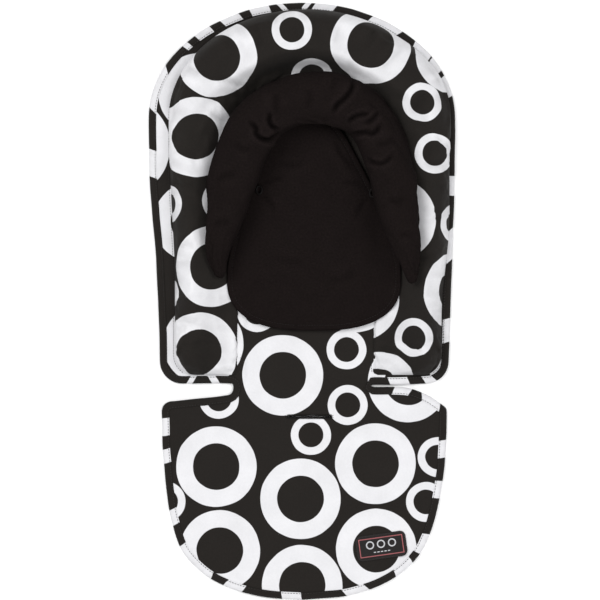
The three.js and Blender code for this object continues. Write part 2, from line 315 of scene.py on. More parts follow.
def meshObject(name, bm, *materials):
    mesh = bpy.data.meshes.new(name)
    bm.to_mesh(mesh)
    bm.free()
    mesh.shade_smooth()
    for material in materials:
        mesh.materials.append(material)
    piece = bpy.data.objects.new(name, mesh)
    bpy.context.collection.objects.link(piece)
    return piece


def clothSheet(points, prints=None):  # a grid whose corners take the rows and columns of points
    rows, columns = len(points), len(points[0])
    bm = bmesh.new()
    bmesh.ops.create_grid(bm, x_segments=rows - 1, y_segments=columns - 1, size=0.5)
    spots = {v: (round((v.co.x + 0.5) * (rows - 1)), round((v.co.y + 0.5) * (columns - 1))) for v in bm.verts}
    layer = bm.loops.layers.uv.new("print")
    for face in bm.faces:
        for loop in face.loops:
            i, j = spots[loop.vert]
            loop[layer].uv = Vector((prints if prints is not None else points)[i][j][:2]) * mm
    for v, (i, j) in spots.items():
        v.co = Vector(points[i][j]) * mm
    return bm


def lowerSide(bm):  # doubles the sheet and joins both at the rim, and gives the copy's corners and faces
    made = bmesh.ops.extrude_face_region(bm, geom=list(bm.faces))["geom"]
    return [[g for g in made if isinstance(g, kind)] for kind in (bmesh.types.BMVert, bmesh.types.BMFace)]


def joined(bm, gap):  # closes seams and poles
    bmesh.ops.remove_doubles(bm, verts=bm.verts, dist=gap * mm)
    bmesh.ops.dissolve_degenerate(bm, edges=bm.edges, dist=gap * mm * 0.5)
    bmesh.ops.recalc_face_normals(bm, faces=bm.faces)
    return bm


def tube(path, radius, around):  # round cord along a closed line of x, y, z
    p = np.array([*path, path[0]], float)
    side = normals(path, True)
    side = np.vstack([side, side[:1]])
    turns = np.linspace(0, 2 * pi, around + 1)
    points = [
        [(x + radius * cos(t) * nx, y + radius * cos(t) * ny, z + radius * sin(t)) for t in turns]
        for (x, y, z), (nx, ny) in zip(p, side)
    ]
    prints = [[(a, t * radius) for t in turns] for a in lengthAlong(p)]
    return joined(clothSheet(points, prints), 0.05)


def layThread(bm, middle, way, long, wide):  # a bead of thread
    turn = way.normalized().to_track_quat("X", "Z").to_matrix().to_4x4()
    size = Matrix.Diagonal((long / 2 * mm, wide / 2 * mm, wide / 2 * mm, 1))
    bmesh.ops.create_icosphere(bm, subdivisions=1, radius=1, matrix=Matrix.Translation(middle * mm) @ turn @ size)


def layBetween(bm, a, b, wide):
    layThread(bm, (a + b) / 2, b - a, (b - a).length + wide * 0.7, wide)


def sewn(name, lines, stitch, thread):  # stitches of thread laid along lines of x, y, z
    bm = bmesh.new()
    for line in lines:
        spots = evenly(line, stitch["pitch"])
        for a, b in zip(spots, spots[1:]):
            layThread(bm, Vector((a + b) / 2), Vector(b - a), stitch["long"], stitch["wide"])
    return meshObject(name, bm, thread)


def fromAbove(v):
    return v.co.x / mm, v.co.y / mm


def corners(mesh):
    spots = np.empty(len(mesh.vertices) * 3)
    mesh.vertices.foreach_get("co", spots)
    return spots


def puff(piece, sewnDown, push):  # blows the cloth up like a filled cushion, and keeps it near its cut shape
    mesh = piece.data
    before = corners(mesh)
    group = piece.vertex_groups.new(name="sewnDown")
    group.add([int(i) for i in sewnDown], 1.0, "REPLACE")
    cloth = piece.modifiers.new("filling", "CLOTH")
    fabric = cloth.settings
    fabric.quality = 7
    fabric.mass = 0.25
    fabric.tension_stiffness = fabric.compression_stiffness = push["stiffness"]
    fabric.bending_stiffness = push["bending"]
    fabric.use_pressure = True
    fabric.uniform_pressure_force = push["pressure"]
    fabric.shrink_min = -push["fullness"]
    fabric.effector_weights.gravity = 0
    fabric.vertex_group_mass = "sewnDown"
    cloth.collision_settings.use_collision = False
    scene = bpy.context.scene
    for now in range(1, push["frames"] + 1):
        scene.frame_set(now)
    after = corners(piece.evaluated_get(bpy.context.evaluated_depsgraph_get()).data)
    moved = (after - before).reshape(-1, 3)
    reach = np.linalg.norm(moved, axis=1)[:, None]
    moved *= np.minimum(1, push["cap"] * mm / np.maximum(reach, 1e-9))
    mesh.vertices.foreach_set("co", before + moved.ravel())
    piece.modifiers.remove(cloth)
    piece.vertex_groups.clear()
    scene.frame_set(1)
    mesh.update()
    print(piece.name, "puffed by up to", round(float(reach.max()) * 1000, 1), "mm")


def paintCreaseShading(mesh, depths):  # stores painted crease shading for the finish, painted shade darkest at 1, the bottom of a crease
    mesh.attributes.new("paintedCreaseShading", "FLOAT", "POINT").data.foreach_set("value", depths)


def creaseLines(creases):
    return [(evenly(curveThrough(path, 12), 1.2), deep, wide) for *path, deep, wide in creases]


def creased(x, y, lines):  # depth of the creases at a spot, with the cloth raised on both sides of each
    depth = 0.0
    for path, deep, wide in lines:
        gaps = np.hypot(path[:, 0] - x, path[:, 1] - y)
        k = int(gaps.argmin())
        if gaps[k] > wide * 7:
            continue
        taper, near = min(k, len(path) - 1 - k) / len(path), gaps[k] / wide
        depth += deep * ease(taper, -0.02, 0.25) * exp(-near * near)
        depth -= 0.35 * deep * ease(taper, 0, 0.3) * exp(-(((near - 3.0) / 1.7) ** 2))
    return depth


# the flat panels and their outline

liner = {
    "headY": 379, "shoulderY": 232, "halfWide": 194.5, "hipHalfWide": 186, "hipRound": 28, "footRound": 13.5,
    "waistHalf": 87, "notchY": -104, "foldY": -108, "footY": -379, "footHalfWide": 184,
    "footSide": [(184, -140), (183, -180), (179, -225), (169, -275), (150, -320), (112, -354), (60, -373), (0, -379)],
    "shutNotch": [
        (146, -104.6), (120, -105.6), (92, -105.9), (88.4, -106.9), (92, -108.0), (120, -108.6), (138, -110.5),
        (160, -119), (174, -128), (182, -134), (184, -139),
    ],
    "drawnIn": 6,  # how far the left side lies in
    "creases": [
        ((-84, -150), (-52, -168), (-18, -184), 0.8, 4.5), ((-72, -122), (-42, -138), (-20, -146), 0.7, 4),
        ((40, -147), (58, -158), (86, -166), 0.7, 4), ((82, -112), (66, -124), (44, -132), 0.7, 4),
        ((-150, -150), (-120, -166), (-96, -160), 0.6, 5), ((-40, -300), (-30, -330), (-34, -356), 0.6, 5),
        ((120, -150), (136, -186), (132, -220), 0.6, 5), ((-176, 60), (-177, 20), (-174, -20), 0.7, 3),
    ],
    "edgeHigh": 5.4, "middleHigh": 9.3, "softness": 17,
    "underside": 0.35,
    "cell": 3, "across": 131, "along": 255,  # size of the grid's cells, and its corners each way
    "gridX": -196, "gridY": -381.5,  # first corner, placed so that cells line up with the slots
    "underTape": 3,  # how far inside the outline the panel's own cloth ends
}

slots = {  # middle, half length, and half width of each strap slot
    "crotch": (9.5, -146, 28.5, 0.8),
    "leftShoulder": (-44.5, 100, 22.5, 0.8),
    "rightShoulder": (51.5, 100, 22.5, 0.8),
}


def drawnIn(x, y):
    return x + liner["drawnIn"] * ease(-x, 90, 170) * ease(y, 180, 20) * (1 - ease(-y, 200, 340))


def linerOutline():  # from the head end, down the right side and up the left
    hip, wide, waist = liner["hipHalfWide"], liner["halfWide"], liner["waistHalf"]
    notch, turn, footTurn = liner["notchY"], liner["hipRound"], liner["footRound"]
    side = [Vector(p) for p in ((wide, liner["shoulderY"]), (wide, 120), (hip + 3, 20), (hip, notch + turn))]
    t = np.linspace(0, 1, 61)[1:, None]
    bend = (1 - t) ** 3 * side[0] + 3 * (1 - t) ** 2 * t * side[1] + 3 * (1 - t) * t**2 * side[2] + t**3 * side[3]
    right = arc(0, liner["shoulderY"], wide, 90, 0, 70, liner["headY"] - liner["shoulderY"])
    right += list(bend)
    right += arc(hip - turn, notch + turn, turn, 0, -90, 14)[1:]
    openNotch = arc(waist + 2.5, notch - 2.5, 2.5, 90, 180, 5)
    openNotch += arc(waist + 8, liner["foldY"] - 3, 8, 180, 275, 8)
    openNotch += arc(liner["footHalfWide"] - footTurn, -140, footTurn, 95, 0, 10)
    foot = list(curveThrough(liner["footSide"], 8)[1:])
    left = [(drawnIn(-x, y), y) for x, y in reversed(right + openNotch + foot)][1:-1]
    shut = list(curveThrough(liner["shutNotch"], 6))  # the right notch lies closed at its root
    return evenly(right + shut + foot + left, 2.5, closed=True)


outline = linerOutline()
panelCreases = creaseLines(liner["creases"])
outlineIn = -normals(outline, True)  # pointing into the panel


def fromEdge(places):  # distance inside the outline, below 0 outside it
    a, b = outline, np.roll(outline, -1, 0)
    nearest, inside = np.full(len(places), 1e9), np.zeros(len(places), bool)
    for (ax, ay), (bx, by) in zip(a, b):
        px, py = places[:, 0] - ax, places[:, 1] - ay
        dx, dy = bx - ax, by - ay
        t = np.clip((px * dx + py * dy) / (dx * dx + dy * dy), 0, 1)
        nearest = np.minimum(nearest, np.hypot(px - t * dx, py - t * dy))
        crosses = (ay > places[:, 1]) != (by > places[:, 1])
        if ay != by:
            inside ^= crosses & (places[:, 0] < ax + (places[:, 1] - ay) * dx / dy)
    return np.where(inside, nearest, -nearest)


def panelHigh(x, y, edge):  # top of the panel, where edge is the distance from its outline
    high = between(liner["edgeHigh"], liner["middleHigh"], 1 - exp(-max(edge, 0) / liner["softness"]))
    high += 0.5 * ripple(x, y, 55, 3.1) * ease(edge, 4, 30) + 0.12 * ripple(x, y, 14, 7.7)
    high -= creased(x, y, panelCreases)
    for sx, sy, long, _ in slots.values():  # the cloth dips into each slot and strains at its ends
        off = hypot(max(abs(x - sx) - long, 0), y - sy)
        high -= 1.3 * exp(-((off / 6) ** 2))
    high -= 0.5 * exp(-(((y - liner["foldY"]) / 6) ** 2)) * (1 - ease(abs(x), 82, 96))  # the fold
    tuck = ease(y, -112, -96) * (1 - ease(y, -30, -12))  # pleat beside the left arm
    high += 2.2 * tuck * ease(x, -88, -78) * (1 - ease(x, -71.5, -69.5)) - 1.2 * tuck * exp(-(((x + 69) / 2.4) ** 2))
    return high


panelRings = {
    "big": [
        (-108.6, -209.3), (-1.8, -250.1), (93.1, -205.5), (-104.1, -315.6), (0.3, -359.7), (94.1, -313.6),
        (-24.3, -93.5), (134.5, -102), (66, 12), (-231, 197, 64, 40), (-130.8, 263.5), (-137, 101), (-125, -54),
    ],
    "small": [
        (-57, -13.5), (56.5, -60.8), (57.9, -131.1), (11.4, -169.2), (171.8, -197.1), (157.1, -253.9),
        (-105.4, -123.3), (-172.8, -253.4), (-10, 388),
    ],
}


def makePanel():
    cell, columns, rows = liner["cell"], liner["across"], liner["along"]
    lowX, lowY = liner["gridX"], liner["gridY"]
    places = np.array([(lowX + cell * i, lowY + cell * j) for i in range(columns) for j in range(rows)])
    edge = fromEdge(places).reshape(columns, rows)
    places = places.reshape(columns, rows, 2)
    points = [[(*spot, panelHigh(*spot, e)) for spot, e in zip(*both)] for both in zip(places, edge)]
    bm = clothSheet(points)
    depth = {v: edge[round((v.co.x / mm - lowX) / cell), round((v.co.y / mm - lowY) / cell)] for v in bm.verts}

    def inSlot(face):
        x, y, _ = face.calc_center_median() / mm
        return any(abs(x - sx) < long and abs(y - sy) < half for sx, sy, long, half in slots.values())

    cut = [f for f in bm.faces if min(depth[v] for v in f.verts) < liner["underTape"] or inSlot(f)]
    bmesh.ops.delete(bm, geom=cut, context="FACES")
    low, faces = lowerSide(bm)
    for v in low:
        v.co.z = (liner["underside"] + 0.25 * (1 + ripple(*fromAbove(v), 40, 5.0))) * mm
    for face in faces:
        face.material_index = 1
    bmesh.ops.recalc_face_normals(bm, faces=bm.faces)
    cloths = printedCotton("printedCottonPanel", panelRings), plainCloth("plainBlackCotton", (0.012, 0.0105, 0.0095))
    panel = meshObject("linerPanel", bm, *cloths)
    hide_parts("back_face", "back_wadding", "back_underside", "seat_face", "seat_wadding", "seat_underside")
    acrossFold(panel)
    print("panel", len(panel.data.vertices), "corners")


def acrossFold(piece):
    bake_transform(piece)


# edge tape and its stitches

tape = {
    "blocks": [  # each white block from x, y to x, y on the outline, and its slant
        (-173, 300, -196, 246, -0.9), (-194, 195, -192, 160, -0.4), (-153, 327, -147, 331, 0.2),
        (-137, 336, -117, 350, 0.2), (-104, 356, -80, 366, 0.4), (-66, 370, -42, 375, 0.2),
        (-33, 378, -25, 378, 0.8), (6, 379, 13, 379, -0.8),
        (17, 379, 46, 377, -0.6), (91, 363, 128, 343, -0.5), (145, 330, 162, 311, 0.3),
        (165, 309, 177, 292, 0.3), (180, 287, 190, 262, 0.3), (192, 158, 191.5, 135, 0.0),
        (191, 93, 190, 55, 0.9), (187, -21, 186, -50, 0.3), (172, -100, 157, -104, 0.6),
        (137, -104, 113, -105, 0.4), (117, -109, 140, -111, -0.4), (151, -115, 176, -130, 0.5),
        (183, -176, 183, -197, 0.2), (179, -227, 175, -250, 0.1), (163, -297, 149, -320, 0.2),
        (140, -331, 119, -350, -0.3), (86, -367, 56, -374, 0.6), (0, -379, -24, -378, 0.2),
        (-76, -370, -101, -359, -0.4), (-117, -352, -155, -312, 0.2), (-165, -286, -171, -266, 0.3),
        (-180, -207, -182, -188, 0.2), (-184, -170, -184, -149, 0.1), (-113, -104, -104, -104, 0.6),
        (-147, -104, -138, -104, -0.6),
    ],
    "stitch": {"pitch": 3.6, "long": 2.9, "wide": 0.75, "inset": 7.9},
    "thick": 0.8,
    "edgeHigh": 2.9, "edgeRound": 3.6,
    "insets": [9.6, 9.5, 9.2, 8.4, 7.9, 7.4, 6.2, 4.8, 3.6, 2.4, 1.4, 0.7, 0.25, 0],  # from its hem to the edge
    "hem": 1.0,  # how far the hem is turned in
}


def tapeSpot(k, inset):  # a spot beside point k of the outline, on a tape of slightly uneven width
    off = inset + 0.6 * ripple(*outline[k], 30, 9.0)
    return outline[k] + outlineIn[k] * off


def tapeHigh(inset, panelTop, puckers):  # upper and lower surface of the tape, by distance from the edge
    rise = sqrt(1 - (1 - min(inset / tape["edgeRound"], 1)) ** 2)
    upper = between(tape["edgeHigh"], panelTop + tape["thick"] + puckers, rise)
    lower = between(tape["edgeHigh"], 0.08, rise)
    return upper, lower


def makeTape():
    insets, seam = tape["insets"], tape["stitch"]["inset"]
    along = lengthAlong(np.vstack([outline, outline[:1]]))
    section = []
    for k in range(len(outline)):
        tops, bottoms = [], []
        for inset in insets:
            x, y = tapeSpot(k, inset)
            puckers = 0.28 * ripple(along[k], inset * 2, 5.5, 2.0) - 0.45 * exp(-(((inset - seam) / 0.8) ** 2))
            upper, lower = tapeHigh(inset, panelHigh(x, y, inset), puckers)
            turned = tape["hem"] if inset == insets[0] else 0
            tops.append((x, y, upper - turned))
            bottoms.append((x, y, lower + turned))
        section.append(tops + bottoms[-2::-1] + tops[:1])
    section.append(section[0])
    across = [-inset for inset in insets] + insets[-2::-1] + [-insets[0]]
    prints = [[(a, b) for b in across] for a in along]

    blocks = []
    for x, y, endX, endY, slant in tape["blocks"]:
        a, b = sorted(along[np.hypot(*(outline - spot).T).argmin()] for spot in ((x, y), (endX, endY)))
        blocks.append(((a + b) / 2, max((b - a) / 2, 2.0), slant))
    cloth = stripedTape("printedCottonTape", blocks)
    piece = meshObject("edgeTape", joined(clothSheet(section, prints), 0.004), cloth)
    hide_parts("back_binding", "seat_binding")
    acrossFold(piece)

    line = []
    for k in range(len(outline)):
        x, y = tapeSpot(k, seam)
        line.append((x, y, tapeHigh(seam, panelHigh(x, y, seam), -0.2)[0]))
    thread = twistedThread("blackThread", (0.016, 0.014, 0.013))
    stitches = sewn("edgeTapeStitches", [line], tape["stitch"], thread)
    acrossFold(stitches)
    print("edge tape", len(blocks), "white blocks")


# the horseshoe bolster

bolster = {
    "middleX": 5, "outerHalf": 172, "innerHalf": 85, "endY": -93, "innerTopY": 200, "outerArcHigh": 136,
    "loft": 30, "headLoft": 8, "innerSlope": 70, "headSlope": 34, "outerRound": 26, "endRound": 24,
    "lip": 2.6,  # how quickly the cover rises from its seam
    "innerCorner": 6, "outerCorner": 26,
    "overhang": 10,
    "stitch": {"pitch": 3.4, "long": 2.5, "wide": 0.7, "off": 1.9},
    "printWrap": 0.3,  # 0 prints it as seen from above, 1 as on the flat cloth
    "creases": [
        ((-106, 280), (-88, 276), (-62, 268), 3.4, 2.4), ((-122, 240), (-106, 232), (-92, 224), 2.2, 3),
        ((128, 326), (113, 308), (98, 290), 2.4, 3), ((56, 304), (64, 291), (70, 276), 2.2, 4),
        ((-152, 302), (-140, 292), (-126, 286), 2.2, 3.5), ((-62, 348), (-54, 335), (-52, 318), 2.2, 4),
        ((42, 352), (44, 338), (40, 322), 2, 4), ((152, 264), (140, 250), (134, 236), 2, 4),
        ((-160, 150), (-146, 147), (-132, 150), 2, 4), ((-162, -18), (-146, -24), (-130, -22), 2, 4),
        ((164, 60), (148, 56), (134, 59), 2, 4), ((94, -62), (106, -60), (122, -66), 2, 3.5),
        ((-162, 66), (-150, 72), (-136, 70), 2, 3.5), ((168, 176), (156, 172), (146, 176), 1.8, 3.5),
        ((90, 344), (88, 330), (80, 316), 2, 3.5), ((-96, 340), (-92, 326), (-82, 316), 1.8, 3.5),
    ],
    "arm": 0.33, "rows": 320, "columns": 44,
    "seamHigh": 8.6, "base": 7.5,
    "push": {"pressure": 3.0, "stiffness": 20, "bending": 0.4, "fullness": 0.03, "frames": 14, "cap": 2.4},
}

bolsterRings = {
    "big": [
        (-107.8, 309), (-135.8, 208.5), (-115.1, 44.7), (-131.8, -64.1), (87.1, 325.4), (194.7, 316.9),
        (208.2, 13.6), (120.3, 104.3), (72.9, 1.9), (94.9, -114.7),
    ],
    "small": [
        (-181, 125), (-186.5, 11),
        (-102.4, 127.6), (-12.7, 343.5), (12.5, 280), (153.3, 252.9), (168.8, 187.2), (143.4, -46.1), (203.7, 100.5),
    ],
}


def endCut(y, corner):  # how far the rounded end of an arm draws its side in
    over = max(corner - (y - bolster["endY"]), 0)
    return corner - sqrt(max(corner**2 - over**2, 0))


def fromInnerSeam(x, y):  # before the ends are rounded
    across = abs(x - bolster["middleX"])
    reach = across if y < bolster["innerTopY"] else hypot(across, y - bolster["innerTopY"])
    return reach - bolster["innerHalf"]


def fillingHigh(y, fromInner):  # how the filling rises from the inner seam, steeper at the head end
    head = ease(y, 225, 300)
    slope = between(bolster["innerSlope"], bolster["headSlope"], head)
    return (bolster["loft"] + bolster["headLoft"] * head) * ease(fromInner, 0, slope)


def bolsterEdges(x, y):  # distances from the inner seam, the outer seam and the nearest end
    across = abs(x - bolster["middleX"])
    fromInner = fromInnerSeam(x, y) - endCut(y, bolster["innerCorner"])
    over = max(y - liner["shoulderY"], 0)
    outerHalf = bolster["outerHalf"] - endCut(y, bolster["outerCorner"])
    rounding = hypot(across / outerHalf, over / bolster["outerArcHigh"])
    span = between(outerHalf, bolster["outerArcHigh"], min(over / bolster["outerArcHigh"], 1))
    return fromInner, (1 - rounding) * span, y - bolster["endY"]


def bolsterHigh(x, y):  # height of the bolster over the panel
    fromInner, fromOuter, fromEnd = bolsterEdges(x, y)
    if min(fromInner, fromOuter, fromEnd) <= 0:
        return 0.0
    high = fillingHigh(y, fromInner)
    for distance, reach in ((fromOuter, bolster["outerRound"]), (fromEnd, bolster["endRound"])):
        high *= sqrt(1 - (1 - min(distance / reach, 1)) ** 2)
    lip = bolster["lip"] * ease(fromInner, 0, 5) * ease(fromOuter, 0, 4) * ease(fromEnd, 0, 4)
    return hypot(high, lip)


def bolsterFolds(x, y, creases):  # gathers along both seams and the creases of the filled cover
    fromInner, fromOuter, fromEnd = bolsterEdges(x, y)
    side = 1 if x > bolster["middleX"] else -1
    turn = atan2(max(y - 216, 0), abs(x - bolster["middleX"]) + 1e-6)
    along = side * (min(y, 216) + turn * 130)
    deep = min(fromInner, fromOuter)
    gather = 1 - 2.6 * abs(ripple(along, deep * 0.3, 12, 4.0)) ** 0.8
    near = exp(-max(fromOuter, 0) / 17) + 0.6 * exp(-max(fromInner, 0) / 15)
    free = ease(deep, 0.5, 6) * ease(fromEnd, 0.5, 6)
    folds = 2.4 * gather * near + 1.3 * ripple(x, y, 46, 1.5) + 1.6 * (0.4 - abs(ripple(x, y, 24, 5.5)) ** 0.6)
    folds += 0.8 * ripple(along, deep * 0.25, 7, 9.0) * (0.35 + near)
    return free * (folds - creased(x, y, creases))


def bolsterSpot(along, across):  # along from the left arm's end to the right arm's, across from inner to outer edge
    arm = bolster["arm"]

    def onEdge(half, straightTop, high, corner):
        if along < arm or along > 1 - arm:
            y = between(bolster["endY"], straightTop, min(along, 1 - along) / arm)
            return (half + corner(y)) * (-1 if along < arm else 1), y
        turn = pi * (1 - (along - arm) / (1 - 2 * arm))
        return half * cos(turn), straightTop + high * sin(turn)

    inner, outer = bolster["innerHalf"], bolster["outerHalf"]
    xi, yi = onEdge(inner, bolster["innerTopY"], inner, lambda y: endCut(y, bolster["innerCorner"]))
    xo, yo = onEdge(outer, liner["shoulderY"], bolster["outerArcHigh"], lambda y: -endCut(y, bolster["outerCorner"]))
    return bolster["middleX"] + between(xi, xo, across), between(yi, yo, across)


def overhang(x, y, more=0):  # bulge of the right side over the edge tape
    return bolster["overhang"] * ease(x - bolster["middleX"], 95, 172 + more) * ease(y, -20, 110)


def closerAtEdges(t, share=1.0):  # crowds even steps from 0 to 1 towards both ends
    return between(t, 0.5 - 0.5 * cos(pi * t), share)


def makeBolster():
    rows, columns = bolster["rows"], bolster["columns"]
    points = []
    for i in range(rows + 1):
        along = closerAtEdges(i / rows, 0.35)
        line = []
        for j in range(columns + 1):
            across = closerAtEdges(j / columns, 0.6)
            x, y = bolsterSpot(along, across)
            line.append((drawnIn(x, y) + overhang(x, y), y, bolster["seamHigh"] + bolsterHigh(x, y)))
        points.append(line)
    p = np.array(points)
    crest = columns // 2
    reach = np.array([lengthAlong(line) for line in p])
    reach -= reach[:, crest : crest + 1]
    out = p[:, -1, :2] - p[:, 0, :2]
    out /= np.linalg.norm(out, axis=1)[:, None]
    wrapped = p[:, crest, None, :2] + out[:, None, :] * reach[:, :, None]
    prints = p[:, :, :2] * (1 + p[:, :, 2:] * mm / studio["height"])
    prints += bolster["printWrap"] * (wrapped - p[:, :, :2])
    bm = clothSheet(points, prints)
    piece = meshObject("bolster", bm, printedCotton("printedCottonBolster", bolsterRings, "print"))
    seam = [v.index for v in piece.data.vertices if v.co.z < (bolster["seamHigh"] + 0.8) * mm]
    puff(piece, seam, bolster["push"])
    creases = creaseLines(bolster["creases"])
    # painted crease shading: painted shade in fold valleys, painted highlight on raised folds, and the whole bolster
    # painted a little darker by the 0.3 offset
    paintedCreaseShading = []
    for v in piece.data.vertices:
        x, y, _ = v.co / mm  # taken back to where the spot lay before the bulge
        x -= overhang(x, y, bolster["overhang"])
        x -= drawnIn(x, y) - x
        folds = bolsterFolds(x, y, creases)
        v.co.z += folds * mm
        paintedCreaseShading.append(min(max(0.3 - folds / 2.6, -0.2), 1.3))
    paintCreaseShading(piece.data, paintedCreaseShading)
    bm = bmesh.new()
    bm.from_mesh(piece.data)
    for v in lowerSide(bm)[0]:
        v.co.z = bolster["base"] * mm
    bmesh.ops.recalc_face_normals(bm, faces=bm.faces)
    bm.to_mesh(piece.data)
    bm.free()
    piece.data.shade_smooth()
    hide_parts("bolster_cover", "bolster_fill")
    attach(piece, "back")

    lines = []
    for across, off in ((1, bolster["stitch"]["off"]), (0, -bolster["stitch"]["off"])):
        seam = np.array([bolsterSpot(t, across) for t in np.linspace(0.004, 0.996, 400)])
        seam[:, 0] = [drawnIn(x, y) for x, y in seam]
        seam += normals(seam, False) * off
        lines.append([(x, y, panelHigh(x, y, 25) + 0.15) for x, y in seam])
    thread = twistedThread("blackSeamThread", (0.014, 0.012, 0.011))
    stitches = sewn("bolsterSeamStitches", lines, bolster["stitch"], thread)
    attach(stitches, "back")
    print("bolster", len(piece.data.vertices), "corners")


# the head pad

headPad = {
    "footY": -35.5, "roundY": 30, "taperY": 40, "capY": 196, "headY": 243, "middleX": 15, "middleTopX": -2,
    "halfWide": 109, "halfWideTop": 40,
    "rests": 11.8, "rimThick": 4.2, "thick": 8.2, "crown": 1.8,
    "seamInset": 5.5,
    "edging": 2.1,
    "creases": [  # pulls in the cloth towards the loops and the head end
        ((-50, 138), (-43, 128), (-32, 116), 1.1, 2.6), ((-52, 150), (-40, 152), (-22, 158), 0.8, 2.6),
        ((84, 132), (76, 124), (66, 104), 1, 2.6), ((80, 146), (66, 150), (48, 150), 0.8, 2.6),
        ((-34, 176), (-14, 173), (8, 175), 0.8, 3), ((40, 206), (50, 186), (66, 166), 1, 3),
        ((-40, 60), (-20, 52), (4, 50), 0.6, 4), ((70, 40), (52, 30), (30, 28), 0.6, 4),
    ],
    "stitch": {"pitch": 3.4, "long": 2.6, "wide": 0.7},
}


def padMiddle(y):
    return between(headPad["middleX"], headPad["middleTopX"], ease(y, 60, headPad["headY"]))


def padTaper(y):  # half the width between the straight sides
    taper = min(max((y - headPad["taperY"]) / (headPad["headY"] - headPad["taperY"]), 0), 1) ** 1.35
    return between(headPad["halfWide"], headPad["halfWideTop"], taper)


def padHalfWidth(y):  # the same with both ends rounded
    h = headPad
    foot = min(max((h["roundY"] - y) / (h["roundY"] - h["footY"] + 0.5), 0), 1)
    cap = min(max((y - h["capY"]) / (h["headY"] - h["capY"] + 0.5), 0), 1)
    return padTaper(y) * ((1 - foot**2.6) * (1 - cap**2.6)) ** (1 / 2.6)


def padSpot(side, up):  # side from -1 to 1, up from foot to head
    y = between(headPad["footY"], headPad["headY"], closerAtEdges(up))
    return padMiddle(y) + side * padHalfWidth(y), y


def padOutline():
    ups = np.linspace(0.001, 0.999, 140)
    return evenly([padSpot(-1, u) for u in ups] + [padSpot(1, u) for u in reversed(ups)], 3, closed=True)


padEdge = padOutline()
padCreases = creaseLines(headPad["creases"])


def padLow(x, y):  # the pad lies in the hollow of the bolster
    return headPad["rests"] + fillingHigh(y, fromInnerSeam(x, y))


def padHigh(x, y, edge):
    swell = 1 - exp(-max(edge, 0) / 9)
    high = padLow(x, y) + between(headPad["rimThick"], headPad["thick"], swell)
    high += headPad["crown"] * ease(edge, 10, 60) * (1 - ease(y, 90, 150))
    high += 0.35 * ripple(x, y, 34, 6.0) * ease(edge, 6, 20) + 0.15 * ripple(x, y, 9, 2.2)
    high -= 0.9 * exp(-(((edge - headPad["seamInset"]) / 1.3) ** 2))  # the sewn line round the pad
    return high - creased(x, y, padCreases)


def makeHeadPad():
    across, up = 72, 92
    sides = [closerAtEdges(i / across, 0.5) * 2 - 1 for i in range(across + 1)]
    spots = np.array([[padSpot(s, j / up) for j in range(up + 1)] for s in sides])
    gaps = spots.reshape(-1, 1, 2) - padEdge[None]
    edge = np.sqrt((gaps**2).sum(2).min(1)).reshape(spots.shape[:2])
    points = [[(*spots[i, j], padHigh(*spots[i, j], edge[i, j])) for j in range(up + 1)] for i in range(across + 1)]
    bm = clothSheet(points)
    low, faces = lowerSide(bm)
    for v in low:
        v.co.z = (padLow(*fromAbove(v)) + 0.3) * mm
    for face in faces:
        face.material_index = 1
    jersey = softJersey("blackJersey", (0.0074, 0.0054, 0.0052))
    piece = meshObject("headPad", joined(bm, 0.01), jersey, plainCloth("padBacking", (0.009, 0.0075, 0.007)))
    # painted shade in the pad's creases and painted highlight on the raised cloth beside them
    paintCreaseShading(piece.data, [0.45 * creased(*fromAbove(v), padCreases) for v in piece.data.vertices])
    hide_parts("head_pad_face", "head_pad_wadding", "head_pad_underside")
    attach(piece, "head_pad")

    inwards = -normals(padEdge, True)
    rim = [(*(spot + inward), padLow(*spot) + 2.4) for spot, inward in zip(padEdge, inwards)]
    edging = meshObject("headPadEdging", tube(rim, headPad["edging"], 12), jersey)
    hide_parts("head_pad_edging")
    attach(edging, "head_pad")

    inset = headPad["seamInset"]
    line = [(x, y, padHigh(x, y, inset) + 0.1) for x, y in padEdge + inwards * inset]
    thread = twistedThread("blackPadThread", (0.0045, 0.0036, 0.0034))
    stitches = sewn("headPadStitches", [line], headPad["stitch"], thread)
    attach(stitches, "head_pad")
    print("head pad done")
    return jersey


# the horseshoe pillow

pillow = {
    "line": [  # x, y and half width, from the left tip round the head to the right tip
        (-101, 29, 7), (-104.5, 62, 15.5), (-97, 103, 23), (-86, 154, 30.5), (-62, 215, 32), (-20, 247, 32.5),
        (34, 256, 31.5), (82, 229, 31.5), (108, 177, 31), (121, 112, 26.5), (132, 62, 16.5), (138, 22, 7),
    ],
    "flatness": 0.66, "clear": 0.8, "steps": 32, "around": 96, "deepest": 8.5,
    "creases": [  # path of each crease as seen from above, its depth and its width
        ((-40, 238), (-41, 227), (-37, 219), (-27, 214), 8, 1.9),
        ((-68, 228), (-58, 218), (-57, 210), (-51, 204), (-42, 202), (-35, 206), (-27, 213), 8.5, 2),
        ((64, 283), (63, 268), (54, 255), (44, 246), (37, 233), 8, 2.1),
        ((98, 240), (88, 228), (78, 223), 5.5, 2), ((86, 236), (69, 233), (55, 223), 7.5, 1.9),
        ((101, 224), (90, 211), (79, 212), (60, 209), 6.5, 2),
        ((78, 180), (90, 174), (102, 174), (116, 185), 5, 1.9),
        ((-30, 262), (-33, 248), (-30, 236), 2.4, 3.6), ((8, 268), (10, 254), (7, 240), 1.6, 4),
        ((118, 205), (104, 199), (90, 196), 2.2, 3.2), ((-108, 150), (-96, 158), (-80, 160), 2, 3.6),
        ((-112, 95), (-100, 100), (-88, 98), 1.8, 3.6), ((130, 130), (118, 126), (106, 130), 1.8, 3.6),
        ((140, 80), (130, 84), (121, 80), 1.6, 3), ((44, 284), (40, 272), (36, 262), 1.8, 3.4),
        ((-84, 200), (-76, 192), (-62, 190), 2, 3.2),
    ],
    "push": {"pressure": 2.5, "stiffness": 15, "bending": 0.3, "fullness": 0.03, "frames": 16, "cap": 2.5},
}


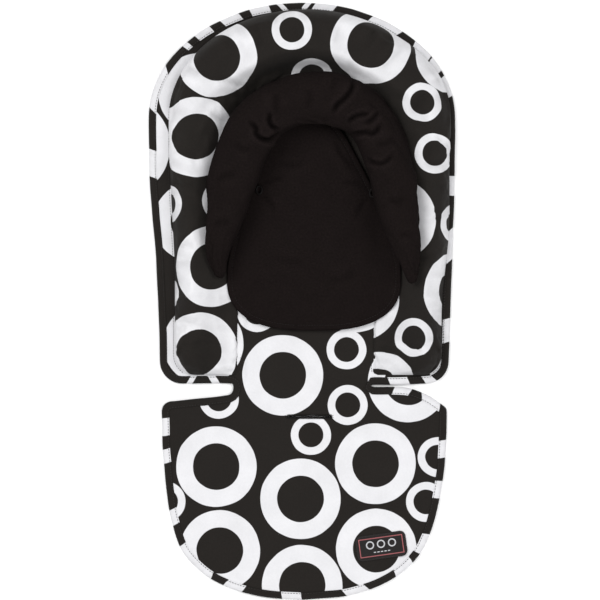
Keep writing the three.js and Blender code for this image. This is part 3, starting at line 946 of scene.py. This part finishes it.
def pillowLow(x, y):  # it rests on the pad, and hangs a little lower beside it
    beyond = max(abs(x - padMiddle(y)) - padTaper(y), y - headPad["headY"])
    return padLow(x, y) + (1 - 0.75 * ease(beyond, 14, 44)) * headPad["thick"] + pillow["clear"]


def makePillow(jersey):
    creases = creaseLines(pillow["creases"])
    line = curveThrough(pillow["line"], pillow["steps"])
    side = normals(line, False)
    around = pillow["around"]
    tips = np.minimum(np.arange(len(line)), np.arange(len(line))[::-1])
    points = []
    for (x, y, half), (nx, ny), tip in zip(line, side, tips):
        close = sqrt(1 - (1 - min(tip / 7, 1)) ** 2)
        half, high = half * (0.05 + 0.95 * close), half * pillow["flatness"] * (0.05 + 0.95 * close)
        middle = pillowLow(x, y) + max(high, 1.5)
        ring = []
        for k in range(around + 1):
            turn = 2 * pi * k / around
            out, up = cos(turn), sin(turn)
            squarer = 1 + 0.06 * sin(2 * turn) ** 2
            px, py = x + nx * half * out * squarer, y + ny * half * out * squarer
            pz = max(middle + high * up * squarer, pillowLow(px, py))
            ring.append((px, py, pz))
        points.append(ring)
    p = np.array(points)
    prints = [[(a, g) for g in lengthAlong(ring)] for a, ring in zip(lengthAlong(line[:, :2]), p)]
    piece = meshObject("headPillow", joined(clothSheet(points, prints), 0.02), jersey)
    mesh = piece.data
    low = [v.index for v in mesh.vertices if v.co.z < (pillowLow(*fromAbove(v)) + 0.6) * mm]
    puff(piece, low, pillow["push"])
    bm = bmesh.new()
    bm.from_mesh(mesh)
    depths = {}
    for v in bm.verts:
        x, y, _ = v.co / mm
        top = ease(v.normal.z, -0.3, 0.35)
        deep = creased(x, y, creases)
        depths[v] = top * (pillow["deepest"] * (1 - exp(-deep / pillow["deepest"])) if deep > 0 else deep)
        lumps = (0.9 * ripple(x, y, 26, 8.0) + 0.35 * ripple(x, y, 9, 3.0)) * top
        v.co += v.normal * ((lumps - depths[v]) * mm)
    for share in (0.8, 3.0):  # softens the creased cloth, most in the deepest creases
        near = [v for v in bm.verts if abs(depths[v]) > share]
        bmesh.ops.smooth_vert(bm, verts=near, factor=0.5, use_axis_x=True, use_axis_y=True, use_axis_z=True)
    for v in bm.verts:
        v.co.z = max(v.co.z, (pillowLow(*fromAbove(v)) + 0.1) * mm)
    # painted shade in the pillow's creases and painted highlight on the raised cloth beside them
    paintedCreaseShading = [min(max(depths[v] / 5.0, -0.4), 1) for v in bm.verts]
    bm.to_mesh(mesh)
    bm.free()
    paintCreaseShading(mesh, paintedCreaseShading)
    mesh.shade_smooth()
    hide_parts("pillow_top_cover", "pillow_underside_cover", "pillow_fill")
    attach(piece, "head_pillow")
    print("pillow", len(mesh.vertices), "corners")


# small sewn things

slotEdge = {
    "wide": 2.3, "spacing": 0.85, "thread": 0.8,
    "crotch": "crotch_slot_stitching",
    "leftShoulder": "shoulder_slot_stitching_left", "rightShoulder": "shoulder_slot_stitching_right",
}


def makeSlotStitches():
    for name, (x, y, long, half) in slots.items():
        bm = bmesh.new()
        walls = arc(x + long - half, y, half, -90, 90, 8) + arc(x - long + half, y, half, 90, 270, 8)
        rim = evenly(walls, slotEdge["spacing"], closed=True)
        for spot, away in zip(rim, -normals(rim, True)):
            inner, outer = spot - away * 0.2, spot + away * slotEdge["wide"]

            def over(place, more):
                return Vector((*place, panelHigh(*place, 60) + more))

            threads = [(over(inner, 0.25), over(outer, 0.25)), [Vector((*place, 0.35)) for place in (inner, outer)]]
            threads.append((Vector((*inner, 0.4)), over(inner, 0.2)))
            for start, end in threads:
                layBetween(bm, start, end, slotEdge["thread"])
        thread = twistedThread(name + "SlotThread", (0.008, 0.007, 0.0065), 0.5, 0.12)
        piece = meshObject(name + "SlotStitches", bm, thread)
        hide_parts(slotEdge[name])
        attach(piece, "seat" if name == "crotch" else "back")
    print("slot stitches done")


label = {
    "middle": (100.5, -310), "long": 64, "high": 32, "corner": 7, "turn": 0.14, "thick": 0.9,
    "border": (27.5, 11.2, 0.55),  # half length, half height and half width of the woven border line
    "rings": [(x, 3, 5.2, 3.6) for x in (-14, 0, 14)],  # middle, outer and inner radius
    "dashes": [(x, -6.6) for x in (-9, -4.5, 0, 4.5, 9)], "dashSize": (1.5, 0.6),
}


def labelWeave():
    finish = Finish("wovenLabel", {"Roughness": 0.7, "Specular IOR Level": 0.25})
    place = finish.millimetres("print")
    x, y, _ = finish.axes(place)
    halfLong, halfHigh, wide = label["border"]
    box = (abs(x) - halfLong).over(abs(y) - halfHigh)
    border = (wide - abs(box)).step(-0.2, 0.2)
    marks = finish.insideRings(place, label["rings"])
    dashLong, dashHigh = label["dashSize"]
    for dx, dy in label["dashes"]:
        marks = marks.over((dashLong - abs(x - dx)).under(dashHigh - abs(y - dy)))
    ribs = abs((y * (pi / 0.45)).sine())
    colour = finish.blend(border, (0.010, 0.008, 0.008), (0.33, 0.10, 0.105))
    colour = finish.blend(marks.step(-0.15, 0.25), colour, (0.52, 0.52, 0.54))
    finish.feed("Base Color", finish.dim(colour, ribs * 0.25 + 0.78))
    finish.bump(ribs + marks.step(-0.3, 0.3) + border, 0.5, 0.25)
    return finish.material


def makeLabel():
    bm = bmesh.new()
    bmesh.ops.create_grid(bm, x_segments=64, y_segments=32, size=0.5)
    bmesh.ops.scale(bm, verts=bm.verts, vec=(label["long"], label["high"], 1))
    layer = bm.loops.layers.uv.new("print")
    straight = (label["long"] / 2 - label["corner"], label["high"] / 2 - label["corner"])
    for v in bm.verts:  # pulls the four corners round
        over = Vector((max(abs(v.co.x) - straight[0], 0), max(abs(v.co.y) - straight[1], 0)))
        if over.x > 0 and over.y > 0:
            pull = max(over.x, over.y) / over.length
            v.co.x = (straight[0] + over.x * pull) * (1 if v.co.x > 0 else -1)
            v.co.y = (straight[1] + over.y * pull) * (1 if v.co.y > 0 else -1)
    for face in bm.faces:
        for loop in face.loops:
            loop[layer].uv = loop.vert.co.xy * mm
    for v in lowerSide(bm)[0]:
        v.co.z = label["thick"]
    bmesh.ops.recalc_face_normals(bm, faces=bm.faces)

    def onFlap(spot, over):  # turned, and laid on the seat flap
        x, y, z = Matrix.Rotation(label["turn"], 3, "Z") @ spot + Vector((*label["middle"], 0))
        return Vector((x, y, panelHigh(x, y, 45) + z + over))

    for v in bm.verts:
        v.co = onFlap(v.co, -0.2) * mm
    piece = meshObject("wovenLabel", bm, labelWeave())
    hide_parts("woven_label")
    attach(piece, "seat")

    a, b, r = label["long"] / 2 - 1, label["high"] / 2 - 1, label["corner"] - 1
    rim = []
    for k, (sx, sy) in enumerate(((1, 1), (-1, 1), (-1, -1), (1, -1))):
        rim += arc(sx * (a - r), sy * (b - r), r, 90 * k, 90 * k + 90, 8)
    rim = evenly(rim, 0.9, closed=True)
    bm = bmesh.new()
    for spot, inward in zip(rim, normals(rim, True)):  # each stitch runs from the patch down over its edge
        inner = onFlap(Vector((*(spot + inward * 1.7), 0)), label["thick"] - 0.1)
        outer = onFlap(Vector((*(spot - inward * 1.3), 0)), label["thick"] - 0.6)
        layBetween(bm, inner, outer, 0.95)
    edge = meshObject("labelEdgeStitches", bm, twistedThread("labelEdgeThread", (0.012, 0.0095, 0.009)))
    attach(edge, "seat")
    print("label done")


tieLoops = {"left": (-54, 141), "right": (89, 137), "size": 5.0, "cord": 1.1}


def makeTieLoops():
    for side in ("left", "right"):
        x, y = tieLoops[side]
        turns = np.linspace(0, 2 * pi, 30)[:-1]
        low = padHigh(x, y, 50)
        size = tieLoops["size"]
        ring = [(x + size * 0.7 * cos(t), y + size * sin(t), low + 1.6 + 1.2 * cos(t)) for t in turns]
        cord = twistedThread(side + "LoopCord", (0.004, 0.0033, 0.0033), 0.9, 0.1)
        loop = meshObject(side + "TieLoop", tube(ring, tieLoops["cord"], 10), cord)
        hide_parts("tie_loop_" + side)
        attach(loop, "head_pad")
    for node, size in (("fastener_loop_strip", 0.7), ("fastener_hook_patch", 1.4)):
        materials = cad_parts[node].data.materials
        materials.clear()
        materials.append(fastenerTape(node.replace("_", " "), (0.006, 0.006, 0.006), size))
    print("loops and fasteners done")


# camera, floor and lights

def setUpStudio():
    camera = bpy.data.objects.new("camera", bpy.data.cameras.new("camera"))
    camera.data.sensor_width = 36
    camera.data.lens = 36 * studio["height"] / studio["across"]
    camera.data.clip_end = 50
    camera.location = (studio["aim"][0] * mm, studio["aim"][1] * mm, studio["height"])
    bpy.context.collection.objects.link(camera)
    bpy.context.scene.camera = camera
    bpy.context.scene.view_settings.view_transform = "Standard"

    bm = bmesh.new()
    bmesh.ops.create_grid(bm, x_segments=1, y_segments=1, size=6)
    bmesh.ops.translate(bm, verts=bm.verts, vec=(0, 0, -0.3 * mm))
    pale = Finish("paleFloor", {"Base Color": studio["floor"], "Roughness": 0.9})
    floor = meshObject("studioFloor", bm, pale.material)

    for name, place, size, power in (
        ("keySoftbox", (-1.6, 1.2, 2.6), 1.8, 62),
        ("fillSoftbox", (1.9, 0.4, 2.4), 1.8, 37),
        ("footSoftbox", (0.0, -2.2, 2.2), 1.6, 34),
    ):
        light = bpy.data.objects.new(name, bpy.data.lights.new(name, "AREA"))
        light.data.shape = "DISK"
        light.data.size = size
        light.data.energy = power
        light.location = place
        light.rotation_euler = Vector(place).to_track_quat("Z", "Y").to_euler()
        bpy.context.collection.objects.link(light)

    sky = bpy.data.worlds.new("studioSky")
    sky.use_nodes = True
    glow = sky.node_tree.nodes["Background"].inputs
    glow["Color"].default_value = (1, 1, 1, 1)
    glow["Strength"].default_value = studio["sky"]
    bpy.context.scene.world = sky


setUpStudio()
makePanel()
makeTape()
makeBolster()
makePillow(makeHeadPad())
makeSlotStitches()
makeLabel()
makeTieLoops()
